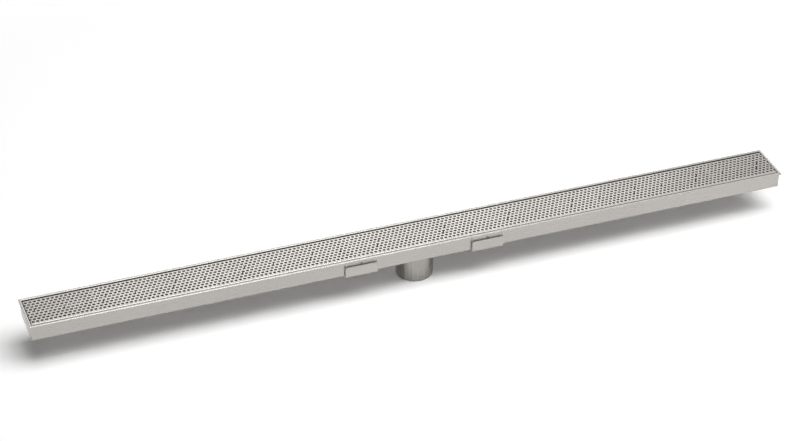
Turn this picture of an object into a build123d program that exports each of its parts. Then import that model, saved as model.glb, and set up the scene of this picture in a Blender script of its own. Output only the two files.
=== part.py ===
from build123d import *
import os

os.makedirs("parts", exist_ok=True)

# Linear shower drain in stainless sheet, millimetres.
# Origin: centre of the outlet pipe's lower end. X runs along the drain, Y to its rear, Z up.

# Tray, folded from one sheet
TRAY_LENGTH = 1067.0        # over the rim
TRAY_WIDTH = 65.0           # over the rim
TRAY_DEPTH = 24.5           # underside of the floor to the top of the rim
TRAY_SHEET = 1.5
TRAY_BEND = 1.5             # inside radius of the fold between floor and wall
HEM_GAP = 0.6               # between the wall and the flap folded down outside it
HEM_DROP = 3.2              # how far the flap reaches down from the rim
HEM_FLAT = 0.2              # level stretch on top of the rounded rim

# Outlet
PIPE_DIAMETER = 50.8        # outside
PIPE_WALL = 1.5
PIPE_LENGTH = 36.5          # below the tray
PIPE_WELD = 1.6             # leg of the weld bead under the floor
PIPE_EDGE = 0.4             # chamfer on the free end

# Grate
GRATE_SHEET = 1.5
GRATE_SIDE_GAP = 2.2        # from the tray's wall to the grate, each side
GRATE_END_GAP = 2.0         # from the end plate to the grate, each end
GRATE_RECESS = 0.5          # below the top of the rim
GRATE_FLANGE = 8.0          # height of the folded sides
GRATE_BEND = 0.8            # inside radius of the fold

# Perforation, coarser than the real sheet's and with about half its open area
HOLE_SIZE = 7.2             # across the flats
HOLE_SIDES = 6
HOLE_PITCH = 20.0           # along the drain
ROW_PITCH = 10.3            # across the drain
ROWS_IN_STEP = 3            # rows in step with the middle one, itself among them
END_BORDER = 3.2            # least plain metal left at each end

# Ribs under the grate
RIB_COUNT = 6
RIB_THICKNESS = 2.0
RIB_FIT = 0.1               # from the rib's edge to the grate's folded side
FOOT_WIDTH = 7.0
ARCH_HEIGHT = 14.5          # from the floor to the top of the arch
ARCH_BEVEL = 4.0

# Hair strainer in the outlet
STRAINER_SHEET = 0.8
STRAINER_FIT = 1.6          # from the cup to the pipe's bore
STRAINER_LAP = 3.2          # how far the flange laps over the floor
STRAINER_DEPTH = 13.0       # below the flange
STRAINER_BEVEL = 2.0        # at the foot of the cup, outside
STRAINER_HOLE = 6.8         # across the flats
STRAINER_RING = 12.6        # radius of the ring of holes round the middle one
RING_HOLES = 6

# Folded lugs on the long walls
LUG_SHEET = 1.0
LUG_LENGTH = 45.0
LUG_SPACING = 180.0         # between the centres of one wall's pair
LUG_SHIFT = 3.0             # from the outlet's centre to the middle of the pair, towards the right
LUG_POCKET = 1.4            # clear width inside the fold
LUG_BACK_HEIGHT = 20.5      # of the leg on the wall, above the tray's underside
LUG_FRONT_HEIGHT = 15.8     # of the free leg
LUG_DROP = 0.3              # below the tray's underside
LUG_FLAT = 0.2              # level stretch at the bottom of the fold
LUG_HOLE = 3.6              # plug weld hole in the leg on the wall
LUG_HOLE_HEIGHT = 17.6
LUG_CORNER = 1.5            # bevel on the corners of both legs

# Worked out from the sizes above
UNDERSIDE = PIPE_LENGTH
FLOOR_TOP = UNDERSIDE + TRAY_SHEET
RIM_TOP = UNDERSIDE + TRAY_DEPTH
HEM_WIDTH = 2 * TRAY_SHEET + HEM_GAP
HEM_RADIUS = (HEM_WIDTH - HEM_FLAT) / 2
HALF_LENGTH = TRAY_LENGTH / 2
HALF_WIDTH = TRAY_WIDTH / 2
INNER_X = HALF_LENGTH - HEM_WIDTH
INNER_Y = HALF_WIDTH - HEM_WIDTH
WALL_Y = INNER_Y + TRAY_SHEET
PIPE_RADIUS = PIPE_DIAMETER / 2
BORE_RADIUS = PIPE_RADIUS - PIPE_WALL
GRATE_TOP = RIM_TOP - GRATE_RECESS
GRATE_UNDER = GRATE_TOP - GRATE_SHEET
GRATE_LENGTH = 2 * (INNER_X - GRATE_END_GAP)
GRATE_Y = INNER_Y - GRATE_SIDE_GAP
CUT_DEPTH = 2 * TRAY_DEPTH  # clears the whole tray


def mitre(side: int) -> Sketch:
    """Plan of one end's share of the corners, a trapezium with 45 degree ends; side is 1 or -1."""
    with BuildSketch(Plane.XY.offset(UNDERSIDE)) as plan:
        with BuildLine():
            Polyline(
                (side * HALF_LENGTH, HALF_WIDTH),
                (side * INNER_X, INNER_Y),
                (side * INNER_X, -INNER_Y),
                (side * HALF_LENGTH, -HALF_WIDTH),
                close=True,
            )
        make_face()
    return plan.sketch


# Channel tray: one skin of the sheet is drawn from flap to flap and thickened towards the outside
with BuildPart() as channel_tray:
    with BuildSketch(Plane.YZ) as tray_section:
        with BuildLine():
            FilletPolyline(
                (-HALF_WIDTH, RIM_TOP - HEM_DROP),
                (-HALF_WIDTH, RIM_TOP),
                (-INNER_Y, RIM_TOP),
                (-INNER_Y, FLOOR_TOP),
                (INNER_Y, FLOOR_TOP),
                (INNER_Y, RIM_TOP),
                (HALF_WIDTH, RIM_TOP),
                (HALF_WIDTH, RIM_TOP - HEM_DROP),
                radius=(HEM_RADIUS, HEM_RADIUS, TRAY_BEND, TRAY_BEND, HEM_RADIUS, HEM_RADIUS),
            )
            offset(amount=TRAY_SHEET, side=Side.RIGHT)
        make_face()
    extrude(amount=HALF_LENGTH, both=True)
    for side in (-1, 1):
        extrude(mitre(side), amount=CUT_DEPTH, mode=Mode.SUBTRACT)
    with Locations((0, 0, FLOOR_TOP)):
        Hole(radius=BORE_RADIUS, depth=2 * TRAY_SHEET)
channel_tray.part.label = "channel_tray"
export_step(channel_tray.part, "parts/channel_tray.step")


# End plates: the same hem, cut to the mitre and to the tray's rounded underside
for side, plate_name in ((-1, "end_plate_left"), (1, "end_plate_right")):
    with BuildPart() as end_plate:
        with BuildSketch(Plane.XZ) as end_section:
            with BuildLine():
                FilletPolyline(
                    (side * HALF_LENGTH, RIM_TOP - HEM_DROP),
                    (side * HALF_LENGTH, RIM_TOP),
                    (side * INNER_X, RIM_TOP),
                    (side * INNER_X, UNDERSIDE),
                    radius=HEM_RADIUS,
                )
                offset(amount=TRAY_SHEET, side=Side.LEFT if side > 0 else Side.RIGHT)
            make_face()
        extrude(amount=HALF_WIDTH, both=True)
        extrude(mitre(side), amount=CUT_DEPTH, mode=Mode.INTERSECT)
        with BuildSketch(Plane.YZ) as end_outline:
            with Locations((0, UNDERSIDE)):
                Rectangle(2 * WALL_Y, TRAY_DEPTH, align=(Align.CENTER, Align.MIN))
            fillet(end_outline.vertices().group_by(Axis.Y)[0], TRAY_BEND + TRAY_SHEET)
            with Locations((0, RIM_TOP)):
                Rectangle(TRAY_WIDTH, HEM_DROP, align=(Align.CENTER, Align.MAX))
        extrude(amount=TRAY_LENGTH, both=True, mode=Mode.INTERSECT)
    end_plate.part.label = plate_name
    export_step(end_plate.part, f"parts/{plate_name}.step")


# Outlet pipe: a tube welded to the floor's underside, with its weld bead
with BuildPart() as outlet_pipe:
    with BuildSketch(Plane.XZ) as pipe_section:
        with BuildLine():
            Polyline(
                (BORE_RADIUS, 0),
                (PIPE_RADIUS - PIPE_EDGE, 0),
                (PIPE_RADIUS, PIPE_EDGE),
                (PIPE_RADIUS, UNDERSIDE - PIPE_WELD),
                (PIPE_RADIUS + PIPE_WELD, UNDERSIDE),
                (BORE_RADIUS, UNDERSIDE),
                close=True,
            )
        make_face()
    revolve(axis=Axis.Z)
outlet_pipe.part.label = "outlet_pipe"
export_step(outlet_pipe.part, "parts/outlet_pipe.step")


# Grate plate: an inverted channel, perforated in staggered rows
with BuildPart() as grate_plate:
    with BuildSketch(Plane.YZ) as grate_section:
        with BuildLine():
            FilletPolyline(
                (-GRATE_Y, GRATE_TOP - GRATE_FLANGE),
                (-GRATE_Y, GRATE_TOP),
                (GRATE_Y, GRATE_TOP),
                (GRATE_Y, GRATE_TOP - GRATE_FLANGE),
                radius=GRATE_BEND + GRATE_SHEET,
            )
            offset(amount=GRATE_SHEET, side=Side.RIGHT)
        make_face()
    extrude(amount=GRATE_LENGTH / 2, both=True)
    columns = int((GRATE_LENGTH - 2 * END_BORDER - HOLE_SIZE) / HOLE_PITCH) + 1
    with BuildSketch(Plane.XY.offset(GRATE_TOP)) as perforation:
        with GridLocations(HOLE_PITCH, 2 * ROW_PITCH, columns, ROWS_IN_STEP):
            RegularPolygon(HOLE_SIZE / 2, HOLE_SIDES, major_radius=False)
        with GridLocations(HOLE_PITCH, 2 * ROW_PITCH, columns - 1, ROWS_IN_STEP - 1):
            RegularPolygon(HOLE_SIZE / 2, HOLE_SIDES, major_radius=False)
    extrude(amount=-2 * GRATE_SHEET, mode=Mode.SUBTRACT)
grate_plate.part.label = "grate_plate"
export_step(grate_plate.part, "parts/grate_plate.step")


# Cross ribs: upright strips welded under the grate, arched between their two feet
rib_width = 2 * (GRATE_Y - GRATE_SHEET - RIB_FIT)
rib_height = GRATE_UNDER - FLOOR_TOP
rib_spacing = GRATE_LENGTH / RIB_COUNT
for number in range(RIB_COUNT):
    rib_x = (number - (RIB_COUNT - 1) / 2) * rib_spacing
    rib_name = f"cross_rib_{number + 1}"
    with BuildPart() as cross_rib:
        with BuildSketch(Plane.YZ.offset(rib_x)) as rib_outline:
            with Locations((0, FLOOR_TOP)):
                Rectangle(rib_width, rib_height, align=(Align.CENTER, Align.MIN))
            chamfer(rib_outline.vertices().group_by(Axis.Y)[-1], GRATE_BEND)
            with Locations((0, FLOOR_TOP)):
                Rectangle(
                    rib_width - 2 * FOOT_WIDTH,
                    ARCH_HEIGHT,
                    align=(Align.CENTER, Align.MIN),
                    mode=Mode.SUBTRACT,
                )
            arch_top = rib_outline.vertices().group_by(Axis.Y)[1]
            chamfer(arch_top, ARCH_BEVEL)
        extrude(amount=RIB_THICKNESS / 2, both=True)
    cross_rib.part.label = rib_name
    export_step(cross_rib.part, f"parts/{rib_name}.step")


# Hair strainer: a pressed cup hung by its flange on the floor round the outlet
cup_radius = BORE_RADIUS - STRAINER_FIT
flange_radius = BORE_RADIUS + STRAINER_LAP
cup_floor = FLOOR_TOP - STRAINER_DEPTH
with BuildPart() as hair_strainer:
    with BuildSketch(Plane.XZ) as cup_section:
        with BuildLine():
            Polyline(
                (0, cup_floor),
                (cup_radius - STRAINER_BEVEL, cup_floor),
                (cup_radius, cup_floor + STRAINER_BEVEL),
                (cup_radius, FLOOR_TOP),
                (flange_radius, FLOOR_TOP),
                (flange_radius, FLOOR_TOP + STRAINER_SHEET),
                (cup_radius - STRAINER_SHEET, FLOOR_TOP + STRAINER_SHEET),
                (cup_radius - STRAINER_SHEET, cup_floor + STRAINER_BEVEL),
                (cup_radius - STRAINER_BEVEL, cup_floor + STRAINER_SHEET),
                (0, cup_floor + STRAINER_SHEET),
                close=True,
            )
        make_face()
    revolve(axis=Axis.Z)
    with BuildSketch(Plane.XY.offset(cup_floor)) as drain_holes:
        RegularPolygon(STRAINER_HOLE / 2, HOLE_SIDES, major_radius=False)
        with PolarLocations(STRAINER_RING, RING_HOLES):
            RegularPolygon(STRAINER_HOLE / 2, HOLE_SIDES, major_radius=False)
    extrude(amount=2 * STRAINER_SHEET, mode=Mode.SUBTRACT)
hair_strainer.part.label = "hair_strainer"
export_step(hair_strainer.part, "parts/hair_strainer.step")


# Lugs: short folded pockets, one leg welded flat to the wall and one free
lug_reach = 2 * LUG_SHEET + LUG_POCKET
lug_radius = (lug_reach - LUG_FLAT) / 2
for wall_name, wall_side in (("front", -1), ("rear", 1)):
    for end_name, end_side in (("left", -1), ("right", 1)):
        lug_name = f"lug_{wall_name}_{end_name}"
        lug_x = LUG_SHIFT + end_side * LUG_SPACING / 2
        with BuildPart() as lug:
            with BuildSketch(Plane.YZ.offset(lug_x)) as lug_section:
                with BuildLine():
                    FilletPolyline(
                        (wall_side * WALL_Y, UNDERSIDE + LUG_BACK_HEIGHT),
                        (wall_side * WALL_Y, UNDERSIDE - LUG_DROP),
                        (wall_side * (WALL_Y + lug_reach), UNDERSIDE - LUG_DROP),
                        (wall_side * (WALL_Y + lug_reach), UNDERSIDE + LUG_FRONT_HEIGHT),
                        radius=lug_radius,
                    )
                    offset(amount=LUG_SHEET, side=Side.LEFT if wall_side > 0 else Side.RIGHT)
                make_face()
            extrude(amount=LUG_LENGTH / 2, both=True)
            across_sheet = lug.edges().filter_by(Axis.Y).group_by(Axis.Z)
            chamfer(across_sheet[-1] + across_sheet[-2], LUG_CORNER)
            with BuildSketch(Plane.XZ.offset(-wall_side * WALL_Y)) as weld_hole:
                with Locations((lug_x, UNDERSIDE + LUG_HOLE_HEIGHT)):
                    Circle(LUG_HOLE / 2)
            extrude(amount=-wall_side * (LUG_SHEET + LUG_POCKET / 2), mode=Mode.SUBTRACT)
        lug.part.label = lug_name
        export_step(lug.part, f"parts/{lug_name}.step")
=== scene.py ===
"""Linear shower drain: the punched grate, the outlet's weld, every finish, and the studio that shows them."""
import logging
import math
from dataclasses import dataclass, field
from enum import Enum

import bmesh
import bpy
from mathutils import Matrix, Vector
from mathutils.geometry import tessellate_polygon


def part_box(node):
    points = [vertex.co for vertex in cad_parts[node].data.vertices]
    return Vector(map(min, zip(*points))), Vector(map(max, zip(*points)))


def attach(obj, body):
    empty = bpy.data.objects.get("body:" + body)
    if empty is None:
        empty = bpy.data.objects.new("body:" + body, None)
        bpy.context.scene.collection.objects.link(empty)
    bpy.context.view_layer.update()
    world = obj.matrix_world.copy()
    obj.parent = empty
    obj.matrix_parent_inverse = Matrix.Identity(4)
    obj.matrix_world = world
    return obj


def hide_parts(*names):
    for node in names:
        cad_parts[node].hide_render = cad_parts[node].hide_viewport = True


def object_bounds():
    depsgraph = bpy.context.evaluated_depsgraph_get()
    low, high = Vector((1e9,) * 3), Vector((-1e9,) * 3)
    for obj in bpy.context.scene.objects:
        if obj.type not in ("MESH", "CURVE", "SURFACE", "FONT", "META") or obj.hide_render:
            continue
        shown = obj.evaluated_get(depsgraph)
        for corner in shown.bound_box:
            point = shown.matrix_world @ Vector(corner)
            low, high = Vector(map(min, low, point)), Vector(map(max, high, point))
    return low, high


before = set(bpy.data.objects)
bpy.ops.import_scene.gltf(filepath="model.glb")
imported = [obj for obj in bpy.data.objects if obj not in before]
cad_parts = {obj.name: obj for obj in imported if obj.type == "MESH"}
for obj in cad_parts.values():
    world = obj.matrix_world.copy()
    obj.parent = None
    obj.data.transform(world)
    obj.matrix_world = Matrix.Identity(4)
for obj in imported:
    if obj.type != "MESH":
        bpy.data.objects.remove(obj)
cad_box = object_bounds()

log = logging.getLogger("shower_drain")

MM = 0.001
BODY = "root"
FULL_TURN = math.tau - 1e-6  # a sweep that reaches this closes on itself
CREASE = math.radians(40)  # edges sharper than this stay crisp

Key = tuple[int, int]  # a step along the grate and a row or line across it
Rings = list[list[bmesh.types.BMVert]]


def linear(code: str) -> tuple[float, float, float, float]:
    """Turns an sRGB hex colour into a linear one.

    Args:
        code: The colour as "#rrggbb".

    Returns:
        Linear red, green and blue, and an alpha of 1.
    """
    parts = [int(code[start:start + 2], 16) / 255 for start in (1, 3, 5)]
    red, green, blue = (p / 12.92 if p <= 0.04045 else ((p + 0.055) / 1.055) ** 2.4 for p in parts)
    return red, green, blue, 1.0


def add_node(tree: bpy.types.NodeTree, kind: str, inputs: dict | None = None, **settings) -> bpy.types.Node:
    """Adds one node to a tree.

    Args:
        tree: The tree that it goes into.
        kind: Blender's name for the node.
        inputs: A value, or the output socket to link, for each input's name or number.
        settings: The node's own attributes.

    Returns:
        The new node.
    """
    node = tree.nodes.new(kind)
    for name, value in settings.items():
        setattr(node, name, value)
    for key, value in (inputs or {}).items():
        if isinstance(value, bpy.types.NodeSocket):
            tree.links.new(value, node.inputs[key])
        else:
            node.inputs[key].default_value = value
    return node


def new_material(name: str) -> tuple[bpy.types.Material, bpy.types.NodeTree]:
    """Starts a material.

    Args:
        name: What the real material is called.

    Returns:
        The material and its empty node tree.
    """
    material = bpy.data.materials.new(name)
    material.use_nodes = True
    material.node_tree.nodes.clear()
    return material, material.node_tree


def finish_mesh(name: str, mesh: bmesh.types.BMesh, *materials: bpy.types.Material) -> bpy.types.Mesh:
    """Turns a finished mesh into one that an object can hold.

    Args:
        name: Its name.
        mesh: The mesh, which is freed.
        materials: One material for each of its slots.

    Returns:
        The smooth mesh with its normals outward.
    """
    bmesh.ops.recalc_face_normals(mesh, faces=mesh.faces)
    for part in mesh.faces:
        part.smooth = True
    data = bpy.data.meshes.new(name)
    mesh.to_mesh(data)
    mesh.free()
    for material in materials:
        data.materials.append(material)
    return data


def make_piece(name: str, mesh: bpy.types.Mesh) -> bpy.types.Object:
    """Puts a mesh into the scene as a piece of the drain.

    Args:
        name: The piece's name.
        mesh: Its mesh, in the frame's coordinates.

    Returns:
        The new object, riding on the drain.
    """
    piece = bpy.data.objects.new(name, mesh)
    bpy.context.scene.collection.objects.link(piece)
    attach(piece, BODY)
    log.info("%s: %d faces", name, len(mesh.polygons))
    return piece


def dress(node: str, *materials: bpy.types.Material) -> None:
    """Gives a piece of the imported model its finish.

    Args:
        node: The piece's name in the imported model.
        materials: One material for each of its slots.
    """
    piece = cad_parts[node]
    piece.data.materials.clear()
    for material in materials:
        piece.data.materials.append(material)
    log.info("%s: %s", node, ", ".join(m.name for m in materials))


class Grain(Enum):
    """How far the polishing marks stretch along X, Y and Z, as shares of their length."""

    ALONG_DRAIN = (1.0, 0.0, 0.0)
    ACROSS_DRAIN = (0.0, 1.0, 0.0)
    UPRIGHT = (0.0, 0.0, 1.0)


@dataclass(frozen=True)
class SatinSteel:
    """Austenitic stainless sheet or tube, rolled bright and then brushed with a fine belt.

    It gives a pale, slightly warm grey that mirrors the room softly, with fine marks along the belt's run.
    """

    name: str
    pale: str = "#bab7b3"
    dark: str = "#a8a5a1"
    roughness: float = 0.27
    roughness_spread: float = 0.05
    grain: Grain = Grain.ALONG_DRAIN
    mark_length: float = 110 * MM
    mark_width: float = 0.9 * MM  # real marks are 0.05 mm wide, too fine to show
    cloud_size: float = 90 * MM
    cloud_share: float = 0.45  # of the soft clouds in the pattern, and the marks have the rest
    pattern_span: tuple[float, float] = (0.3, 0.7)  # what the pattern's noise mostly keeps within
    relief: float = 0.0015 * MM

    def make(self) -> bpy.types.Material:
        """Builds the material.

        Returns:
            A metal whose colour, roughness and height follow the brushing marks.
        """
        material, tree = new_material(self.name)
        place = add_node(tree, "ShaderNodeTexCoord").outputs["Object"]
        across = 1 / self.mark_width
        along = 1 / self.mark_length
        stretch = tuple(along if share else across for share in self.grain.value)
        run = add_node(tree, "ShaderNodeMapping", {"Vector": place, "Scale": stretch})
        marks = add_node(
            tree,
            "ShaderNodeTexNoise",
            {"Vector": run.outputs["Vector"], "Scale": 1.0, "Detail": 3.0, "Roughness": 0.6},
        )
        clouds = add_node(
            tree,
            "ShaderNodeTexNoise",
            {"Vector": place, "Scale": 1 / self.cloud_size, "Detail": 2.0, "Roughness": 0.5},
        )
        both = add_node(
            tree,
            "ShaderNodeMix",
            {"Factor": self.cloud_share, "A": marks.outputs["Fac"], "B": clouds.outputs["Fac"]},
            data_type="FLOAT",
        )
        colour = add_node(
            tree,
            "ShaderNodeMix",
            {"Factor": both.outputs["Result"], "A": linear(self.pale), "B": linear(self.dark)},
            data_type="RGBA",
        )
        least, most = self.pattern_span
        gloss = add_node(
            tree,
            "ShaderNodeMapRange",
            {
                "Value": both.outputs["Result"],
                "From Min": least,
                "From Max": most,
                "To Min": self.roughness - self.roughness_spread / 2,
                "To Max": self.roughness + self.roughness_spread / 2,
            },
        )
        height = add_node(
            tree,
            "ShaderNodeBump",
            {"Height": marks.outputs["Fac"], "Distance": self.relief, "Strength": 1.0},
        )
        shader = add_node(
            tree,
            "ShaderNodeBsdfPrincipled",
            {
                "Base Color": colour.outputs["Result"],
                "Metallic": 1.0,
                "Roughness": gloss.outputs["Result"],
                "Normal": height.outputs["Normal"],
            },
        )
        add_node(tree, "ShaderNodeOutputMaterial", {"Surface": shader.outputs["BSDF"]})
        return material


@dataclass(frozen=True)
class ShearedEdge:
    """Stainless sheet where a punch or a shear has cut it: dull and streaked down the cut, with a paler
    colour that is painted light lifting the shade inside the punched holes.
    """

    name: str = "sheared stainless edge"
    # pale and dark are both lighter than cut steel: painted light that lifts the shade on the hole walls
    pale: str = "#d9d6d1"
    dark: str = "#b5b2ad"
    roughness: float = 0.62
    streak: float = 0.35 * MM
    streak_length: float = 3.5 * MM

    def make(self) -> bpy.types.Material:
        """Builds the material.

        Returns:
            A dull metal streaked along Z, the way the punch travelled.
        """
        material, tree = new_material(self.name)
        place = add_node(tree, "ShaderNodeTexCoord").outputs["Object"]
        run = add_node(
            tree,
            "ShaderNodeMapping",
            {"Vector": place, "Scale": (1 / self.streak, 1 / self.streak, 1 / self.streak_length)},
        )
        streaks = add_node(tree, "ShaderNodeTexNoise", {"Vector": run.outputs["Vector"], "Scale": 1.0})
        colour = add_node(
            tree,
            "ShaderNodeMix",
            {"Factor": streaks.outputs["Fac"], "A": linear(self.pale), "B": linear(self.dark)},
            data_type="RGBA",
        )
        shader = add_node(
            tree,
            "ShaderNodeBsdfPrincipled",
            {"Base Color": colour.outputs["Result"], "Metallic": 1.0, "Roughness": self.roughness},
        )
        add_node(tree, "ShaderNodeOutputMaterial", {"Surface": shader.outputs["BSDF"]})
        return material


@dataclass(frozen=True)
class WeldedSteel:
    """Stainless weld metal, left as welded and wiped: rippled, darker, with a faint straw heat tint."""

    name: str = "stainless weld metal"
    pale: str = "#c2bdb2"
    tint: str = "#a39a86"
    roughness: float = 0.34
    blotch: float = 2.5 * MM

    def make(self) -> bpy.types.Material:
        """Builds the material.

        Returns:
            A metal blotched between its bare colour and the tint.
        """
        material, tree = new_material(self.name)
        place = add_node(tree, "ShaderNodeTexCoord").outputs["Object"]
        blotches = add_node(
            tree, "ShaderNodeTexNoise", {"Vector": place, "Scale": 1 / self.blotch, "Detail": 3.0}
        )
        colour = add_node(
            tree,
            "ShaderNodeMix",
            {"Factor": blotches.outputs["Fac"], "A": linear(self.pale), "B": linear(self.tint)},
            data_type="RGBA",
        )
        shader = add_node(
            tree,
            "ShaderNodeBsdfPrincipled",
            {"Base Color": colour.outputs["Result"], "Metallic": 1.0, "Roughness": self.roughness},
        )
        add_node(tree, "ShaderNodeOutputMaterial", {"Surface": shader.outputs["BSDF"]})
        return material


class Lean(Enum):
    """Which way a joined pair of holes leans, seen from above with the rear edge up."""

    RIGHT = 1
    LEFT = -1


@dataclass
class PunchedGrate:
    """The lift-out grate: one sheet with its two long sides folded down, punched in staggered rows."""

    rows: int = 9
    row_pitch: float = 5.35 * MM
    half_pitches: int = 361  # along the whole grate, so each end cuts every other row through its holes
    plain_steps: int = 2  # at each end, where no pair is joined
    hole_radius: float = 2.15 * MM
    roll_over: float = 0.2 * MM  # rounding that the punch leaves round the hole
    hole_sides: int = 14
    sheet: float = 1.5 * MM
    bend: float = 2.3 * MM  # outside radius of the folds
    bend_steps: int = 8
    end_reach: float = 1.2 * MM  # how far each end reaches past the coarse grate's, towards the end plate
    pair_period: int = 32  # half pitches after which the joined pairs repeat
    neck: float = 0.8 * MM  # half the width of the cut that joins a pair
    pairs: tuple[tuple[int, int, Lean], ...] = ((2, 1, Lean.RIGHT), (4, 3, Lean.RIGHT), (3, 16, Lean.RIGHT))
    mesh: bmesh.types.BMesh = field(default_factory=bmesh.new)

    def __post_init__(self) -> None:
        """Takes the grate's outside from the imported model."""
        low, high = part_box("grate_plate")
        self.left, self.right = low.x - self.end_reach, high.x + self.end_reach
        self.top, self.foot = high.z, low.z
        self.under = self.top - self.sheet
        self.half_width = high.y
        self.web = self.half_width - self.bend
        self.half_pitch = (self.right - self.left) / self.half_pitches
        self.corners: dict[Key, Vector] = {}
        self.top_net: dict[Key, bmesh.types.BMVert] = {}
        self.under_net: dict[Key, bmesh.types.BMVert] = {}

    def place(self, step: int, line: float) -> Vector:
        """Gives a point of the flat web.

        Args:
            step: Half pitches from the left end.
            line: Row pitches from the front edge of the first row.

        Returns:
            The point in plan.
        """
        return Vector((self.left + step * self.half_pitch, (line - self.rows / 2) * self.row_pitch))

    def joined(self) -> dict[Key, Lean]:
        """Lists the joined pairs.

        Returns:
            The lean of each pair by its front hole's step and row.
        """
        found = {}
        for row, start, lean in self.pairs:
            first = start if (start + row) % 2 else start + 1
            for step in range(first, self.half_pitches - self.plain_steps, self.pair_period):
                if step > self.plain_steps:
                    found[step, row] = lean
        return found

    def lay_net(self) -> None:
        """Lays the corner points between the holes, on top of the web and under it."""
        for step in range(self.half_pitches + 1):
            for line in range(self.rows + 1):
                point = self.place(step, line)
                self.corners[step, line] = point
                self.top_net[step, line] = self.mesh.verts.new((point.x, point.y, self.top))
                self.under_net[step, line] = self.mesh.verts.new((point.x, point.y, self.under))

    def arc(self, centre: Vector, radius: float, start: float, sweep: float) -> list[Vector]:
        """Gives the points of an arc.

        Args:
            centre: Its centre in plan.
            radius: Its radius.
            start: The angle of its first point, in radians.
            sweep: The angle from its first point to its last, in radians.

        Returns:
            Its points, without the last where it closes on the first.
        """
        steps = max(2, round(self.hole_sides * abs(sweep) / math.tau))
        count = steps if abs(sweep) > FULL_TURN else steps + 1
        angles = [start + sweep * number / steps for number in range(count)]
        return [centre + radius * Vector((math.cos(a), math.sin(a))) for a in angles]

    def opening(self, ends: list[tuple[Vector, float, float]], radius: float) -> list[Vector]:
        """Gives an opening's outline from the arcs round its centres.

        Args:
            ends: The centre, start angle and sweep of each arc.
            radius: The radius of every arc.

        Returns:
            The outline's points in plan.
        """
        return [point for centre, start, sweep in ends for point in self.arc(centre, radius, start, sweep)]

    def punch(self, keys: list[Key], ends: list[tuple[Vector, float, float]]) -> Rings:
        """Makes one cell of the web with its opening, on top, underneath and down the cut.

        Args:
            keys: The cell's corners, in order round it, as steps and lines.
            ends: The centre, start angle and sweep of each arc of its opening.

        Returns:
            The opening's rings of vertices: on top, below the rounding, and underneath.
        """
        rings = []
        for radius, height in (
            (self.hole_radius + self.roll_over, self.top),
            (self.hole_radius, self.top - self.roll_over),
            (self.hole_radius, self.under),
        ):
            outline = self.opening(ends, radius)
            rings.append([self.mesh.verts.new((p.x, p.y, height)) for p in outline])
        whole = abs(sum(sweep for _, _, sweep in ends)) > FULL_TURN
        border = [self.corners[key] for key in keys]
        rim = self.opening(ends, self.hole_radius + self.roll_over)
        loops = [border, rim] if whole else [border + rim]
        flat = [[point.to_3d() for point in loop] for loop in loops]
        for ring, net in ((rings[0], self.top_net), (rings[2], self.under_net)):
            vertices = [net[key] for key in keys] + ring
            for corners in tessellate_polygon(flat):
                self.mesh.faces.new([vertices[corner] for corner in corners])
        count = len(rings[0])
        for number in range(count if whole else count - 1):
            following = (number + 1) % count
            for depth in (0, 1):
                wall = self.mesh.faces.new(
                    (
                        rings[depth][number],
                        rings[depth][following],
                        rings[depth + 1][following],
                        rings[depth + 1][number],
                    )
                )
                wall.material_index = depth
        return rings

    def punch_rows(self, joined: dict[Key, Lean]) -> dict[Key, Rings]:
        """Punches every cell.

        Args:
            joined: The lean of each joined pair by its front hole's step and row.

        Returns:
            The rings of each opening that an end of the grate cuts, by its step and row.
        """
        seconds = {(step + lean.value, row + 1) for (step, row), lean in joined.items()}
        last = self.half_pitches
        cut = {}
        for row in range(self.rows):
            for step in range((row + 1) % 2, last + 1, 2):
                centre = self.place(step, row + 0.5)
                if (step, row) in seconds:
                    continue
                if (step, row) in joined:
                    self.punch_pair(step, row, joined[step, row])
                elif step == 0:
                    keys = [(0, row), (1, row), (1, row + 1), (0, row + 1)]
                    cut[step, row] = self.punch(keys, [(centre, math.pi / 2, -math.pi)])
                elif step == last:
                    keys = [(last, row + 1), (last - 1, row + 1), (last - 1, row), (last, row)]
                    cut[step, row] = self.punch(keys, [(centre, -math.pi / 2, -math.pi)])
                else:
                    keys = [(step + x, row) for x in (-1, 0, 1)] + [(step + x, row + 1) for x in (1, 0, -1)]
                    self.punch(keys, [(centre, 0.0, math.tau)])
        return cut

    def punch_pair(self, step: int, row: int, lean: Lean) -> None:
        """Punches two neighbouring holes joined into one short slot.

        Args:
            step: The front hole's half pitches from the left end.
            row: Its row.
            lean: Which way the slot leans.
        """
        front, rear = self.place(step, row + 0.5), self.place(step + lean.value, row + 1.5)
        heading = math.atan2(rear.y - front.y, rear.x - front.x)
        side = lean.value
        keys = [
            (step - side, row),
            (step, row),
            (step + side, row),
            (step + side, row + 1),
            (step + 2 * side, row + 1),
            (step + 2 * side, row + 2),
            (step + side, row + 2),
            (step, row + 2),
            (step, row + 1),
            (step - side, row + 1),
        ]
        half_neck = math.asin(self.neck / self.hole_radius)
        sweep = math.tau - 2 * half_neck
        self.punch(keys, [(front, heading + half_neck, sweep), (rear, heading + math.pi + half_neck, sweep)])

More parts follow.
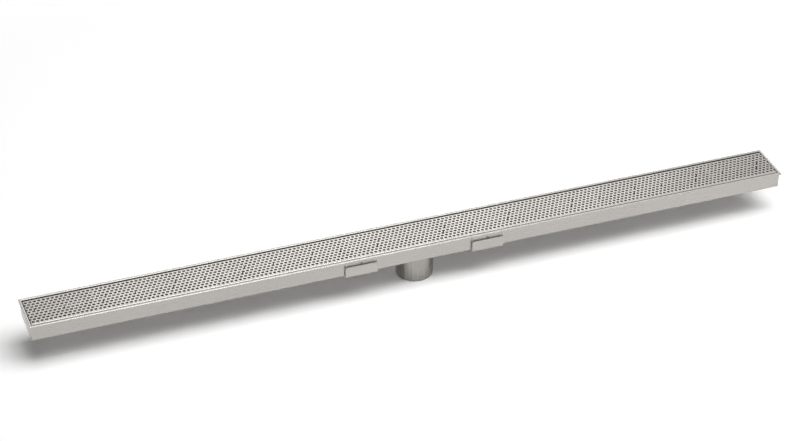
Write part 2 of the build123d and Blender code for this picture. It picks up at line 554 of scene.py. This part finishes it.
    def fold_sides(self) -> dict[Key, tuple[bmesh.types.BMVert, bmesh.types.BMVert]]:
        """Folds both long sides down.

        Returns:
            The top and underside vertices where each fold starts, by its side and end, each 1 or -1.
        """
        starts = {}
        inner = self.bend - self.sheet
        centre = self.top - self.bend
        for side in (-1, 1):
            outside, inside = [], []
            for number in range(self.bend_steps + 1):
                angle = math.pi / 2 * number / self.bend_steps
                reach, rise = math.sin(angle), math.cos(angle)
                outside.append((self.web + self.bend * reach, centre + self.bend * rise))
                inside.append((self.web + inner * reach, centre + inner * rise))
            outside.append((self.half_width, self.foot))
            inside.append((self.half_width - self.sheet, self.foot))
            ends = {}
            for end, x in ((-1, self.left), (1, self.right)):
                outer = [self.mesh.verts.new((x, side * y, z)) for y, z in outside]
                inner_row = [self.mesh.verts.new((x, side * y, z)) for y, z in inside]
                ends[end] = outer, inner_row
                starts[side, end] = outer[0], inner_row[0]
                for number in range(len(outer) - 1):
                    loop = (outer[number], outer[number + 1], inner_row[number + 1], inner_row[number])
                    self.mesh.faces.new(loop).material_index = 1
            for layer in (0, 1):
                first, second = ends[-1][layer], ends[1][layer]
                for number in range(len(first) - 1):
                    loop = (first[number], first[number + 1], second[number + 1], second[number])
                    self.mesh.faces.new(loop)
            foot = (ends[-1][0][-1], ends[1][0][-1], ends[1][1][-1], ends[-1][1][-1])
            self.mesh.faces.new(foot).material_index = 1
        return starts

    def close_web(
        self, starts: dict[Key, tuple[bmesh.types.BMVert, bmesh.types.BMVert]], cut: dict[Key, Rings]
    ) -> None:
        """Joins the punched web to the folds, and closes its two cut ends.

        Args:
            starts: The vertices where each fold starts, by its side and end.
            cut: The rings of each opening that an end cuts, by its step and row.
        """
        for side, line in ((-1, 0), (1, self.rows)):
            for layer, net in ((0, self.top_net), (1, self.under_net)):
                edge = [net[step, line] for step in range(self.half_pitches + 1)]
                self.mesh.faces.new([starts[side, -1][layer], *edge, starts[side, 1][layer]])
        for end, step in ((-1, 0), (1, self.half_pitches)):
            tops = [self.top_net[step, line] for line in range(self.rows + 1)]
            unders = [self.under_net[step, line] for line in range(self.rows + 1)]
            for side, line in ((-1, 0), (1, self.rows)):
                top, under = starts[side, end]
                self.mesh.faces.new((top, tops[line], unders[line], under)).material_index = 1
            for row in range(self.rows):
                corners = (tops[row], tops[row + 1], unders[row + 1], unders[row])
                if (step, row) not in cut:
                    self.mesh.faces.new(corners).material_index = 1
                    continue
                rings = cut[step, row]
                front, rear = (0, -1) if rings[0][0].co.y < rings[0][-1].co.y else (-1, 0)
                before = [ring[front] for ring in rings]
                after = [ring[rear] for ring in rings]
                self.mesh.faces.new((corners[0], *before, corners[3])).material_index = 1
                self.mesh.faces.new((corners[1], *after, corners[2])).material_index = 1

    def build(self, face: bpy.types.Material, edge: bpy.types.Material) -> None:
        """Builds the grate in place of the coarse one.

        Args:
            face: The finish of the sheet's faces.
            edge: The finish of its cut edges.
        """
        joined = self.joined()
        self.lay_net()
        cut = self.punch_rows(joined)
        self.close_web(self.fold_sides(), cut)
        data = finish_mesh("punched_grate", self.mesh, face, edge)
        data.set_sharp_from_angle(angle=CREASE)
        piece = make_piece("punched_grate", data)
        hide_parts("grate_plate")


@dataclass
class WeldBead:
    """The fillet weld that joins the outlet pipe to the tray's floor, with its ripples."""

    packed_leg: float = 1.6 * MM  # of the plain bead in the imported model, the pipe's widest part
    leg: float = 1.9 * MM
    swell: float = 0.25 * MM  # how far the bead stands out from a flat fillet
    ripples: int = 84
    ripple_height: float = 0.09 * MM
    bow: float = 0.35  # how far, in ripples, each one bows backwards in the middle of the bead
    steps_per_ripple: int = 6
    steps_across: int = 8

    def build(self, metal: bpy.types.Material) -> None:
        """Builds the bead round the top of the pipe.

        Args:
            metal: The finish of the weld metal.
        """
        low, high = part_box("outlet_pipe")
        radius = (high.x - low.x) / 2 - self.packed_leg
        count = self.ripples * self.steps_per_ripple
        mesh = bmesh.new()
        rings = []
        for number in range(count):
            turn = math.tau * number / count
            phase = number / self.steps_per_ripple
            ring = []
            for step in range(self.steps_across + 1):
                share = step / self.steps_across
                crown = math.sin(math.pi * share)
                ripple = self.ripple_height * abs(math.sin(math.pi * (phase - self.bow * crown))) * crown
                bulge = (self.swell * crown + ripple) / math.sqrt(2)  # outward and down, square to the fillet
                out = radius + self.leg * share + bulge
                height = high.z - self.leg * (1 - share) - bulge
                ring.append(mesh.verts.new((out * math.cos(turn), out * math.sin(turn), height)))
            rings.append(ring)
        for number, ring in enumerate(rings):
            following = rings[(number + 1) % count]
            for step in range(self.steps_across):
                mesh.faces.new((ring[step], following[step], following[step + 1], ring[step + 1]))
        make_piece("outlet_weld", finish_mesh("outlet_weld", mesh, metal))


@dataclass
class PhotoCamera:
    """The camera that took the photograph, found from the rim's corners in it."""

    azimuth: float = math.radians(20.83)  # from the rear towards the right
    elevation: float = math.radians(34.85)
    roll: float = math.radians(0.66)
    distance: float = 3341.8 * MM
    focal_pixels: float = 2483.0
    drop: float = 21.0 * MM  # from the middle of the rim's top to the point on the lens's axis
    image_width: int = 800
    offset_right: float = 14.4  # pixels from the image's centre to the lens's axis
    offset_down: float = 25.9
    sensor: float = 36.0  # millimetres
    clip_end: float = 100.0  # metres

    def build(self, rim: Vector) -> None:
        """Sets the camera up.

        Args:
            rim: The middle of the drain, level with the rim's top.
        """
        target = rim - Vector((0.0, 0.0, self.drop))
        data = bpy.data.cameras.new("photo_camera")
        data.sensor_width = self.sensor
        data.lens = self.focal_pixels / self.image_width * self.sensor
        data.shift_x = -self.offset_right / self.image_width
        data.shift_y = self.offset_down / self.image_width
        data.clip_end = self.clip_end
        camera = bpy.data.objects.new("photo_camera", data)
        bpy.context.scene.collection.objects.link(camera)
        forward = Vector(
            (
                math.sin(self.azimuth) * math.cos(self.elevation),
                math.cos(self.azimuth) * math.cos(self.elevation),
                -math.sin(self.elevation),
            )
        )
        level = Vector((math.cos(self.azimuth), -math.sin(self.azimuth), 0.0))
        rise = level.cross(forward)
        right = math.cos(self.roll) * level + math.sin(self.roll) * rise
        up = math.cos(self.roll) * rise - math.sin(self.roll) * level
        turn = Matrix((right, up, -forward)).transposed().to_4x4()
        camera.matrix_world = Matrix.Translation(target - forward * self.distance) @ turn
        bpy.context.scene.camera = camera
        log.info("camera: %.1f mm lens at %.3f m", data.lens, self.distance)


@dataclass(frozen=True)
class Lamp:
    """A soft rectangular lamp, aimed at the drain."""

    name: str
    size: tuple[float, float]  # metres
    place: tuple[float, float, float]  # metres from the drain
    power: float  # watts
    lights_floor: bool = True
    mirrored: bool = True  # whether the steel mirrors it

    def hang(self) -> None:
        """Hangs the lamp."""
        data = bpy.data.lights.new(self.name, "AREA")
        data.shape = "RECTANGLE"
        data.size, data.size_y = self.size
        data.energy = self.power
        lamp = bpy.data.objects.new(self.name, data)
        bpy.context.scene.collection.objects.link(lamp)
        lamp.location = self.place
        lamp.rotation_euler = (-Vector(self.place)).to_track_quat("-Z", "Y").to_euler()
        lamp.visible_diffuse = self.lights_floor
        lamp.visible_glossy = self.mirrored


@dataclass
class Studio:
    """A white sweep of floor under a soft overhead lamp, with three more for the steel to mirror."""

    floor_size: float = 30.0  # metres
    floor_gap: float = 0.02 * MM  # between the floor and the pipe's end, so that the two don't coincide
    floor_colour: str = "#f7f7f7"
    floor_lift: float = 0.085  # what the floor's own white adds where the camera or a reflection sees it
    fade: tuple[float, float] = (0.8, 2.4)  # metres from the drain over which the floor turns plain white
    sky_strength: float = 0.1
    sky_rise: float = 0.6  # how much brighter than the horizon the steel mirrors the sky right overhead
    sky_focus: float = 8.0  # how closely that keeps to the zenith
    lamps: tuple[Lamp, ...] = (
        Lamp("overhead_lamp", (3.7, 6.8), (1.8, -0.6, 5.0), 390.0, mirrored=False),
        Lamp("rear_lamp", (1.9, 1.4), (1.2, 3.5, 2.65), 12.5, lights_floor=False),
        Lamp("front_lamp", (1.0, 0.8), (0.45, -2.9, 1.4), 8.0, lights_floor=False),
        Lamp("rim_lamp", (1.6, 0.6), (0.5, -1.7, 2.9), 18.0, lights_floor=False),
    )

    def seen(self, tree: bpy.types.NodeTree) -> bpy.types.NodeSocket:
        """Finds whether a ray comes from the camera, a reflection or a clear piece.

        Args:
            tree: The node tree that asks.

        Returns:
            A socket that is 1 for such a ray and 0 for any other.
        """
        ray = add_node(tree, "ShaderNodeLightPath").outputs
        either = add_node(
            tree, "ShaderNodeMath", {0: ray["Is Camera Ray"], 1: ray["Is Glossy Ray"]}, operation="MAXIMUM"
        )
        any_of = add_node(
            tree,
            "ShaderNodeMath",
            {0: either.outputs["Value"], 1: ray["Is Transmission Ray"]},
            operation="MAXIMUM",
        )
        return any_of.outputs["Value"]

    def build_floor(self) -> None:
        """Lays the floor at the height that the drain stands on; from below it is clear."""
        data = bpy.data.meshes.new("floor")
        half = self.floor_size / 2
        height = cad_box[0][2] - self.floor_gap
        corners = [(x, y, height) for x, y in ((-half, -half), (half, -half), (half, half), (-half, half))]
        data.from_pydata(corners, [], [(0, 1, 2, 3)])
        material, tree = new_material("matt white floor")
        # Matt white board: it scatters light evenly, keeps the shadow soft and has no shine
        matt = add_node(tree, "ShaderNodeBsdfDiffuse", {"Color": linear(self.floor_colour)})
        spot = add_node(tree, "ShaderNodeNewGeometry").outputs
        reach = add_node(tree, "ShaderNodeVectorMath", {0: spot["Position"]}, operation="LENGTH")
        near, far = self.fade
        white = add_node(
            tree,
            "ShaderNodeMapRange",
            {
                "Value": reach.outputs["Value"],
                "From Min": near,
                "From Max": far,
                "To Min": self.floor_lift,
                "To Max": 1.0,
            },
            interpolation_type="SMOOTHSTEP",
        )
        lift = add_node(
            tree, "ShaderNodeMath", {0: self.seen(tree), 1: white.outputs["Result"]}, operation="MULTIPLY"
        )
        glow = add_node(tree, "ShaderNodeEmission", {"Strength": lift.outputs["Value"]})
        both = add_node(
            tree, "ShaderNodeAddShader", {0: matt.outputs["BSDF"], 1: glow.outputs["Emission"]}
        )
        clear = add_node(tree, "ShaderNodeBsdfTransparent")
        one_sided = add_node(
            tree,
            "ShaderNodeMixShader",
            {0: spot["Backfacing"], 1: both.outputs["Shader"], 2: clear.outputs["BSDF"]},
        )
        add_node(tree, "ShaderNodeOutputMaterial", {"Surface": one_sided.outputs["Shader"]})
        data.materials.append(material)
        floor = bpy.data.objects.new("floor", data)
        bpy.context.scene.collection.objects.link(floor)

    def build_sky(self) -> None:
        """Lights the drain from all round, and shows white behind it."""
        world = bpy.data.worlds.new("white room")
        world.use_nodes = True
        tree = world.node_tree
        tree.nodes.clear()
        heading = add_node(tree, "ShaderNodeTexCoord").outputs["Generated"]
        height = add_node(tree, "ShaderNodeSeparateXYZ", {"Vector": heading}).outputs["Z"]
        steep = add_node(tree, "ShaderNodeMath", {0: height, 1: self.sky_focus}, operation="POWER")
        glow = add_node(
            tree,
            "ShaderNodeMath",
            {0: steep.outputs["Value"], 1: self.sky_rise, 2: 1.0},
            operation="MULTIPLY_ADD",
        )
        strength = add_node(
            tree,
            "ShaderNodeMix",
            {"Factor": self.seen(tree), "A": self.sky_strength, "B": glow.outputs["Value"]},
            data_type="FLOAT",
        )
        white = add_node(
            tree, "ShaderNodeBackground", {"Color": (1, 1, 1, 1), "Strength": strength.outputs["Result"]}
        )
        add_node(tree, "ShaderNodeOutputWorld", {"Surface": white.outputs["Background"]})
        bpy.context.scene.world = world

    def build(self) -> None:
        """Sets up the floor, the sky and the lamps."""
        self.build_floor()
        self.build_sky()
        for lamp in self.lamps:
            lamp.hang()
        bpy.context.scene.view_settings.view_transform = "Standard"


def main() -> None:
    """Builds and dresses the drain, then the studio round it."""
    logging.basicConfig(level=logging.INFO, format="%(message)s")
    edge = ShearedEdge().make()
    sheet = SatinSteel("brushed stainless tray sheet").make()
    PunchedGrate().build(SatinSteel("brushed stainless grate sheet").make(), edge)
    for node in ("channel_tray", "end_plate_left", "end_plate_right"):
        dress(node, sheet)
    # Tube drawn over a mandrel and brushed coarsely, so marks run up and down it; the breadth and strong
    # contrast of its dark and pale upright bands, and its dark tone, are painted reflection of the shadowed
    # floor that the tube mirrors
    tube = SatinSteel(
        "drawn stainless tube with painted reflection bands",
        pale="#b8b5b0",
        dark="#75736f",
        grain=Grain.UPRIGHT,
        mark_width=4.0 * MM,
        mark_length=400 * MM,
    )
    dress("outlet_pipe", tube.make())
    WeldBead().build(WeldedSteel().make())
    # Strip as it leaves the rolls, never brushed, which looks duller and a touch paler than the sheet
    strip = SatinSteel("mill stainless strip", pale="#c1beba", dark="#afaca8", roughness=0.55).make()
    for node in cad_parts:
        if node.startswith(("lug_", "cross_rib_")):
            dress(node, strip)
    dress("hair_strainer", SatinSteel("pressed stainless strainer", grain=Grain.ACROSS_DRAIN).make())
    PhotoCamera().build(Vector((0.0, 0.0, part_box("channel_tray")[1].z)))
    Studio().build()


if __name__ == "__main__":
    main()
